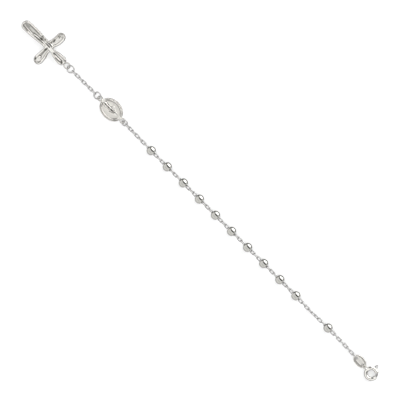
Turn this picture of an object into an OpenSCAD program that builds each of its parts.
// Silver rosary bracelet, laid open and straight on a surface.
// +X runs along the bracelet from the cross to the clasp, +Z is up, and the surface is z = 0.

/* [Cross] */
// Length of the cross along the bracelet, without its eye
cross_l = 26.0; // [20:0.1:34]
// Span of the two side arms
cross_w = 18.0; // [14:0.1:26]
// Length of the arm above the crossing, which carries the eye
cross_top_l = 10.1; // [8:0.1:14]
// Greatest width of an arm
arm_w = 4.45; // [3.4:0.05:5]
// Thickness of the cross, flat back to the top of its rims
cross_t = 1.6; // [1.3:0.05:2.4]
// Depth of the spoon-like recess in each arm
arm_dish = 0.45; // [0.1:0.05:0.7]
// Outer diameter of the cross's soldered eye
cross_eye_d = 3.2; // [2.8:0.05:4]
// Wire of the soldered eyes of the cross and the medal
eye_wire = 0.5; // [0.4:0.05:0.6]

/* [Medal] */
// Length of the oval medal, without its eyes
medal_l = 11.6; // [10:0.1:16]
// Width of the oval medal
medal_w = 8.9; // [7:0.1:12]
// Thickness of the medal at its rim
medal_t = 1.3; // [1.1:0.05:2]
// Width of the raised rim
medal_rim = 1.15; // [0.6:0.05:1.4]
// Depth of the inner field below the rim
medal_field_drop = 0.45; // [0.2:0.05:0.6]
// Height of the figure's relief above the field
medal_relief = 0.4; // [0.2:0.05:0.6]
// Outer diameter of the medal's two soldered eyes
medal_eye_d = 2.6; // [2.4:0.05:3.2]

/* [Jump rings] */
// Outer diameter of the ring between the cross and the chain
cross_ring_d = 3.8; // [3.4:0.05:4.6]
// Outer diameter of the ring between the short chain and the medal
medal_ring_d = 3.65; // [3.2:0.05:4.4]
// Outer diameter of the ring between the medal and the beads' chain
bead_ring_d = 2.9; // [2.7:0.05:3.6]
// Wire of the jump rings
ring_wire = 0.55; // [0.4:0.05:0.6]

/* [Chain] */
// Width of the cable chain over a link
chain_w = 1.7; // [1.2:0.05:1.8]
// Outer length of a link
link_l = 3.0; // [2.4:0.05:3.2]
// Wire of a link
link_wire = 0.5; // [0.3:0.02:0.5]

/* [Beads] */
// Diameter of a bead
bead_d = 4.0; // [3.4:0.1:6]
// Wall of a hollow bead
bead_wall = 0.3; // [0.2:0.05:0.5]
// Clearance between the chain and a bead's holes
thread_gap = 0.1; // [0.05:0.05:0.3]

/* [Tag] */
// Length of the oval tag
tag_l = 6.8; // [6:0.1:9]
// Width of the oval tag
tag_w = 4.7; // [3.6:0.1:6]
// Thickness of the tag
tag_t = 0.45; // [0.35:0.05:0.6]
// Hole at each end of the tag
tag_hole = 1.0; // [0.9:0.05:1.2]
// Distance from the tag's end to the centre of its hole
tag_hole_inset = 1.35; // [1.2:0.05:1.6]

/* [Spring-ring clasp] */
// Outer diameter of the clasp
clasp_d = 6.4; // [5.5:0.1:8]
// Diameter of the clasp's hollow tube
clasp_tube = 1.6; // [1.3:0.05:2]
// Wall of the tube
clasp_wall = 0.25; // [0.2:0.05:0.35]
// Running clearance of the bolt in the tube and of the stem in its slot
slide_gap = 0.06; // [0.04:0.01:0.1]
// Angle that the opening takes out of the ring
opening_angle = 42; // [30:1:48]
// Outer diameter of the clasp's eyelet
eyelet_d = 2.6; // [2.4:0.05:3]
// Diameter of the trigger knob where it is widest
knob_d = 1.45; // [1.1:0.05:1.5]
// Length of the trigger knob
knob_l = 1.4; // [1.2:0.05:2]
// Diameter of the stem that carries the knob
stem_d = 0.6; // [0.5:0.05:0.7]

/* [Hidden] */
BEADS_IN_ROW = 10;
LINKS_SHORT = 7;
LINKS_LONG = 72;
LINKS_BEFORE_ROW = 7.5;
LINKS_PER_BEAD = 5;
LINKS_ROW_TO_SINGLE = 10;
BEAD_COUNT = BEADS_IN_ROW + 1;
function bead_name(i) = str("bead_", i < 9 ? "0" : "", i + 1);
$fn = 48;

// How the bracelet drifts sideways where it lies: share of its length, millimetres.
// These few points are the chain's route as it was laid.
ROUTE = [
    [0.00, 0.00], [0.12, 0.00], [0.14, 0.15], [0.21, 0.20], [0.29, 0.15], [0.36, -0.18],
    [0.54, -0.28], [0.77, -0.33], [0.81, -0.60], [0.86, -0.33], [0.91, -0.45],
    [0.95, -0.85], [1.00, -1.10]
];

// Slack left between a jump ring and a soldered eye, and between a ring and a link
ring_slack = 0.3;
link_slack = 0.05;
// How deep a soldered eye sinks into its piece
solder = 0.3;
// Space between the stiff pieces and the ends of the two chains
end_gap = 0.12;
// How far a laid piece stays above the surface
lay_gap = 0.02;
// Turn of the soldered eyes and of the jump rings about the bracelet's line
eye_turn = -22;
ring_turn = 25;
eyelet_turn = -50;
tag_turn = 20;

link_inner = link_l - 2 * link_wire;
link_pitch = link_inner;
function inner_r(d, wire) = d / 2 - wire;

// Heights of the clasp and its eyelet, and how far the clasp's tube reaches out at the eyelet's height
clasp_z = max(clasp_tube, knob_d) / 2;
clasp_path_r = (clasp_d - clasp_tube) / 2;
eyelet_z = (eyelet_d - eye_wire) / 2 * sin(-eyelet_turn) + eye_wire / 2 + lay_gap;
eyelet_seat = clasp_path_r + sqrt(pow(clasp_tube / 2, 2) - pow(eyelet_z - clasp_z, 2));

// Places along the bracelet, each from the one before it
eye_from_tip = cross_l + cross_eye_d / 2 - solder;
cross_ring_from_tip = eye_from_tip + inner_r(cross_eye_d, eye_wire) + inner_r(cross_ring_d, ring_wire)
    - ring_slack;
short_first = cross_ring_from_tip + inner_r(cross_ring_d, ring_wire) + link_inner / 2 - link_slack;
short_last = short_first + (LINKS_SHORT - 1) * link_pitch;
medal_ring_from_tip = short_last + link_inner / 2 + inner_r(medal_ring_d, ring_wire) - link_slack;
medal_eye_reach = medal_l / 2 + medal_eye_d / 2 - solder / 2;
medal_from_tip = medal_ring_from_tip + inner_r(medal_ring_d, ring_wire) + inner_r(medal_eye_d, eye_wire)
    - ring_slack + medal_eye_reach;
bead_ring_from_tip = medal_from_tip + medal_eye_reach + inner_r(medal_eye_d, eye_wire)
    + inner_r(bead_ring_d, ring_wire) - ring_slack;
long_first = bead_ring_from_tip + inner_r(bead_ring_d, ring_wire) + link_inner / 2 - link_slack;
long_last = long_first + (LINKS_LONG - 1) * link_pitch;
tag_from_tip = long_last + (link_l - link_wire) / 2 + tag_l / 2 - tag_hole_inset;
eyelet_from_tip = tag_from_tip + tag_l / 2 - tag_hole_inset + (eyelet_d - eye_wire) / 2;
clasp_from_tip = eyelet_from_tip + eyelet_d / 2 + eyelet_seat - solder / 2;
total_l = clasp_from_tip + clasp_d / 2;

function along(from_tip) = from_tip - total_l / 2;
function side(x) = lookup(x / total_l + 0.5, ROUTE);
heading_reach = 3;
function heading(x) = atan((side(x + heading_reach) - side(x - heading_reach)) / (2 * heading_reach));

x_cross = along(cross_l - cross_top_l);
x_cross_ring = along(cross_ring_from_tip);
x_medal_ring = along(medal_ring_from_tip);
x_medal = along(medal_from_tip);
x_bead_ring = along(bead_ring_from_tip);
x_tag = along(tag_from_tip);
x_clasp = along(clasp_from_tip);
function bead_x(i) = along(long_first + link_pitch
    * (LINKS_BEFORE_ROW + LINKS_PER_BEAD * min(i, BEADS_IN_ROW - 1)
        + (i < BEADS_IN_ROW ? 0 : LINKS_ROW_TO_SINGLE)));

// Heights of the pieces that lie on the surface
function ring_z(d) = (d - ring_wire) / 2 * sin(ring_turn) + ring_wire / 2 + lay_gap;
cross_eye_z = 0.625 * cross_t;
medal_eye_z = 0.65 * medal_t;
tag_z = tag_w / 2 * sin(tag_turn) + tag_t / 2 + lay_gap;
chain_low = chain_w / 2 + lay_gap;

// Puts a piece on the bracelet's line at x, turned to the line's heading
module on_line(x, z = 0) {
    translate([x, side(x), z]) rotate([0, 0, heading(x)]) children();
}

module wire_ring(d, wire) {
    rotate_extrude() translate([(d - wire) / 2, 0]) circle(d = wire);
}

// Arms of the cross, from the crossing outwards:
// share of the arm's length, half width as a share of arm_w / 2, sideways drift as a share of arm_w
LONG_ARM = [[-0.12, 0.60, 0.06], [0, 0.76, 0.07], [0.2, 0.77, 0.08], [0.5, 0.96, 0.06], [0.75, 1, 0.03],
    [1, 0.98, 0.02]];
TOP_ARM = [[-0.15, 0.5, 0.04], [0, 0.45, 0.03], [0.22, 0.42, 0], [0.38, 0.66, -0.01], [0.55, 0.82, -0.01],
    [0.72, 0.92, -0.01], [1, 0.9, -0.01]];
LEFT_ARM = [[-0.12, 0.7, 0], [0, 0.8, 0.02], [0.22, 0.84, 0.02], [0.4, 0.88, -0.12], [0.65, 0.94, -0.17],
    [1, 0.96, -0.16]];
RIGHT_ARM = [[-0.12, 0.7, 0], [0, 0.76, 0], [0.25, 0.68, 0.06], [0.45, 0.86, 0.1], [0.7, 0.97, 0.11],
    [1, 0.94, 0.12]];
// Section across an arm: share of the half width, share of the height, share of the recess's depth
ARM_SECTION = [[-0.86, 0, 0], [-1, 0.32, 0], [-0.93, 0.72, 0], [-0.7, 1, 0], [-0.45, 1, 0.55], [0, 1, 1],
    [0.45, 1, 0.55], [0.7, 1, 0], [0.93, 0.72, 0], [1, 0.32, 0], [0.86, 0, 0]];
arm_steps = 14;
// How much closer the sections stand towards an arm's tip
arm_crowding = 1.35;
// Height of an arm's very tip as a share of the thickness, and its width as a share of the arm's
tip_height = 0.45;
tip_width = 0.12;
// Where an arm's recess starts and ends, as shares of its length
dish_from = 0.25;
dish_to = 0.97;

function column(table, at, c) = lookup(at, [for (row = table) [row[0], row[c]]]);
// Round end of an arm: how much of its width is left at a share of its length
function round_end(at, len, end_r) = let (past = at * len - (len - end_r))
    past <= 0 ? 1 : sqrt(max(0, 1 - pow(past / end_r, 2)));
function dish_at(at) = at < dish_from || at > dish_to ? 0
    : sqrt(sin(180 * (at - dish_from) / (dish_to - dish_from)));

// One arm along +X, flat on the surface
module arm(table, len) {
    first = table[0][0];
    end_r = arm_w / 2 * column(table, 1, 1);
    function share(i) = first + (1 - first) * (1 - pow(1 - i / arm_steps, arm_crowding));
    points = [for (i = [0 : arm_steps]) let (
        at = share(i),
        end = round_end(at, len, end_r),
        half = arm_w / 2 * column(table, at, 1) * max(end, tip_width),
        high = cross_t * (tip_height + (1 - tip_height) * sqrt(end)),
        drift = arm_w * column(table, at, 2)
    ) each [for (p = ARM_SECTION)
        [at * len, drift + half * p[0], high * p[1] - arm_dish * p[2] * dish_at(at) * end]]];
    n = len(ARM_SECTION);
    polyhedron(points, concat(
        [[for (j = [n - 1 : -1 : 0]) j]],
        [for (i = [0 : arm_steps - 1], j = [0 : n - 1]) let (k = (j + 1) % n)
            [i * n + j, i * n + k, (i + 1) * n + k, (i + 1) * n + j]],
        [[for (j = [0 : n - 1]) arm_steps * n + j]]
    ));
}

module cross() {
    long_l = cross_l - cross_top_l;
    color("silver") on_line(x_cross) {
        // The four arms together come to the cross's named length, span and thickness
        translate([-long_l, -cross_w / 2, 0]) resize([cross_l, cross_w, cross_t])
            translate([long_l, cross_w / 2, 0]) {
                rotate([0, 0, 180]) mirror([0, 1, 0]) arm(LONG_ARM, long_l);
                arm(TOP_ARM, cross_top_l);
                rotate([0, 0, 90]) arm(LEFT_ARM, cross_w / 2);
                rotate([0, 0, -90]) arm(RIGHT_ARM, cross_w / 2);
            }
        translate([cross_top_l + cross_eye_d / 2 - solder, 0, cross_eye_z])
            rotate([eye_turn, 0, 0]) wire_ring(cross_eye_d, eye_wire);
    }
}

module jump_ring(x, d) {
    color("silver") on_line(x, ring_z(d)) rotate([ring_turn, 0, 0]) wire_ring(d, ring_wire);
}

// Height of the chain's middle line. It runs level through the beads, hangs a little between the beads
// of the row, and comes down to the surface on the longer stretches.
row_sag = 0.25;
// How far beyond a bead the chain stays level, and over which lengths it comes down to the surface
// from a bead, and up from it to a ring or the tag
level_lead = 0.2;
ramp_l = 6;
end_reach = 4;
level_reach = bead_d / 2 + level_lead;
function smooth(t) = let (u = min(1, max(0, t))) u * u * (3 - 2 * u);
function near_bead(x) = min([for (i = [0 : BEAD_COUNT - 1]) abs(x - bead_x(i))]);
function in_row(x) = x > bead_x(0) && x < bead_x(BEADS_IN_ROW - 1);
bead_pitch = LINKS_PER_BEAD * link_pitch;
function lift(x, x_end, z_end) = max(0, z_end - chain_low) * (1 - smooth(abs(x - x_end) / end_reach));
function chain_z(x) = let (past = near_bead(x) - level_reach) in_row(x)
    ? bead_d / 2 - row_sag * smooth(past / (bead_pitch / 2 - level_reach))
    : bead_d / 2 - (bead_d / 2 - chain_low) * smooth(past / ramp_l)
        + lift(x, x_cross_ring, ring_z(cross_ring_d)) + lift(x, x_medal_ring, ring_z(medal_ring_d))
        + lift(x, x_bead_ring, ring_z(bead_ring_d)) + lift(x, x_tag, tag_z);

// Tube of the chain's width swept along the line from x1 to x2, with a ring at each place in the list
tube_sides = 8;
module chain_tube(places) {
    reach = 0.5;
    function tilt(x) = atan((chain_z(x + reach) - chain_z(x - reach)) / (2 * reach));
    points = [for (x = places) let (yaw = heading(x), pitch = tilt(x)) each
        [for (j = [0 : tube_sides - 1]) let (a = 360 * (j + 0.5) / tube_sides, c = cos(a), s = sin(a))
            [x - chain_w / 2 * (c * sin(yaw) + s * sin(pitch)),
             side(x) + chain_w / 2 * c * cos(yaw),
             chain_z(x) + chain_w / 2 * s * cos(pitch)]]];
    n = tube_sides;
    last = len(places) - 1;
    polyhedron(points, concat(
        [[for (j = [n - 1 : -1 : 0]) j]],
        [for (i = [0 : last - 1], j = [0 : n - 1]) let (k = (j + 1) % n)
            [i * n + j, i * n + k, (i + 1) * n + k, (i + 1) * n + j]],
        [[for (j = [0 : n - 1]) last * n + j]]
    ));
}

// Where the two chain solids start and end, clear of the rings and the tag
short_from = x_cross_ring + cross_ring_d / 2 + end_gap;
short_to = x_medal_ring - medal_ring_d / 2 - end_gap;
long_from = x_bead_ring + bead_ring_d / 2 + end_gap;
long_to = x_tag - tag_l / 2 - end_gap;
tube_step = bead_pitch / 4;
end_room = 0.3; // share of a step that stays free next to an end
function between(from, to, base) = let (
    first = ceil((from - base) / tube_step + end_room),
    last = floor((to - base) / tube_step - end_room)
) concat([from], [for (i = [first : last]) base + i * tube_step], [to]);

module chain_short() {
    color("silver") chain_tube(between(short_from, short_to, short_from));
}

module chain_long() {
    color("silver") chain_tube(between(long_from, long_to, bead_x(0)));
}

module oval(l, w, h) {
    scale([1, w / l, 1]) cylinder(d = l, h = h);
}

// The figure's outline from its feet to its shoulders:
// place as a share of the field's half length, half width as a share of the field's half width
FIGURE = [[-0.86, 0.42], [-0.6, 0.46], [-0.1, 0.5], [0.25, 0.56], [0.42, 0.44], [0.5, 0.2]];
figure_head = 0.66;
figure_head_r = 0.13;
module figure(field_l, field_w) {
    linear_extrude(medal_relief) polygon(concat(
        [for (p = FIGURE) [p[0] * field_l / 2, p[1] * field_w / 2]],
        [for (i = [len(FIGURE) - 1 : -1 : 0]) [FIGURE[i][0] * field_l / 2, -FIGURE[i][1] * field_w / 2]]
    ));
    translate([figure_head * field_l / 2, 0, 0]) cylinder(r = figure_head_r * field_l / 2, h = medal_relief);
}

module medal() {
    field_l = medal_l - 2 * medal_rim;
    field_w = medal_w - 2 * medal_rim;
    field_z = medal_t - medal_field_drop;
    root = 0.1;
    color("silver") on_line(x_medal) {
        difference() {
            oval(medal_l, medal_w, medal_t);
            translate([0, 0, field_z]) oval(field_l, field_w, medal_t);
        }
        translate([0, 0, field_z - root]) figure(field_l, field_w);
        for (end = [-1, 1])
            translate([end * medal_eye_reach, 0, medal_eye_z])
                rotate([eye_turn, 0, 0]) wire_ring(medal_eye_d, eye_wire);
    }
}

module bead(i) {
    bore_r = chain_w / 2 + thread_gap;
    color("silver") on_line(bead_x(i), bead_d / 2) rotate([0, 90, 0]) rotate_extrude() difference() {
        circle(d = bead_d);
        circle(d = bead_d - 2 * bead_wall);
        translate([-bead_d, -bead_d]) square([bead_d + bore_r, 2 * bead_d]);
    }
}

module tag() {
    color("silver") on_line(x_tag, tag_z) rotate([tag_turn, 0, 0]) difference() {
        translate([0, 0, -tag_t / 2]) oval(tag_l, tag_w, tag_t);
        for (end = [-1, 1])
            translate([end * (tag_l / 2 - tag_hole_inset), 0, 0])
                cylinder(d = tag_hole, h = tag_t + 1, center = true);
    }
}

// The clasp. Angles run counter-clockwise from +X, and the eyelet is at 180 degrees.
bore_d = clasp_tube - 2 * clasp_wall;
bolt_d = bore_d - 2 * slide_gap;
opening_from = 8;
opening_to = opening_from + opening_angle;
// How far the shut bolt reaches into the tube beyond the opening, and how far the open one draws back
bolt_lap = 6;
bolt_clear = 1;
bolt_from = opening_from - bolt_lap;
travel = opening_to - bolt_from + bolt_clear;
knob_angle = 97;
knob_gap = 0.12;
// The slot's ends clear the stem by half as much again as the stem's own half angle
stem_angle = 1.5 * asin((stem_d / 2 + slide_gap) / clasp_path_r);
bolt_tail = 14;

module arc_of(from, to) {
    rotate([0, 0, from]) rotate_extrude(angle = to - from) translate([clasp_path_r, 0]) children();
}

module clasp_ring() {
    slot_w = stem_d + 2 * slide_gap;
    color("silver") on_line(x_clasp, clasp_z) {
        difference() {
            arc_of(opening_to, 360 + opening_from) difference() {
                circle(d = clasp_tube);
                circle(d = bore_d);
            }
            arc_of(knob_angle - stem_angle, knob_angle + travel + stem_angle)
                translate([0, -slot_w / 2]) square([clasp_tube, slot_w]);
        }
        translate([-(eyelet_seat + eyelet_d / 2 - solder / 2), 0, eyelet_z - clasp_z])
            rotate([eyelet_turn, 0, 0]) wire_ring(eyelet_d, eye_wire);
    }
}

module clasp_bolt() {
    knob_from = clasp_d / 2 + knob_gap;
    stem_root = 0.1;
    tip_r = knob_d / 4;
    color("silver") on_line(x_clasp, clasp_z) {
        arc_of(bolt_from, knob_angle + bolt_tail) circle(d = bolt_d);
        rotate([0, 0, knob_angle]) rotate([0, 90, 0]) {
            translate([0, 0, clasp_path_r]) cylinder(d = stem_d, h = knob_from - clasp_path_r + stem_root);
            translate([0, 0, knob_from]) cylinder(d1 = knob_d, d2 = 2 * tip_r, h = knob_l - tip_r);
            translate([0, 0, knob_from + knob_l - tip_r]) sphere(r = tip_r);
        }
    }
}

cross();
jump_ring(x_cross_ring, cross_ring_d);  // cross_ring
chain_short();
jump_ring(x_medal_ring, medal_ring_d);  // medal_ring
medal();
jump_ring(x_bead_ring, bead_ring_d);  // bead_ring
chain_long();
for (i = [0 : BEAD_COUNT - 1]) bead(i);
tag();
clasp_ring();
clasp_bolt();
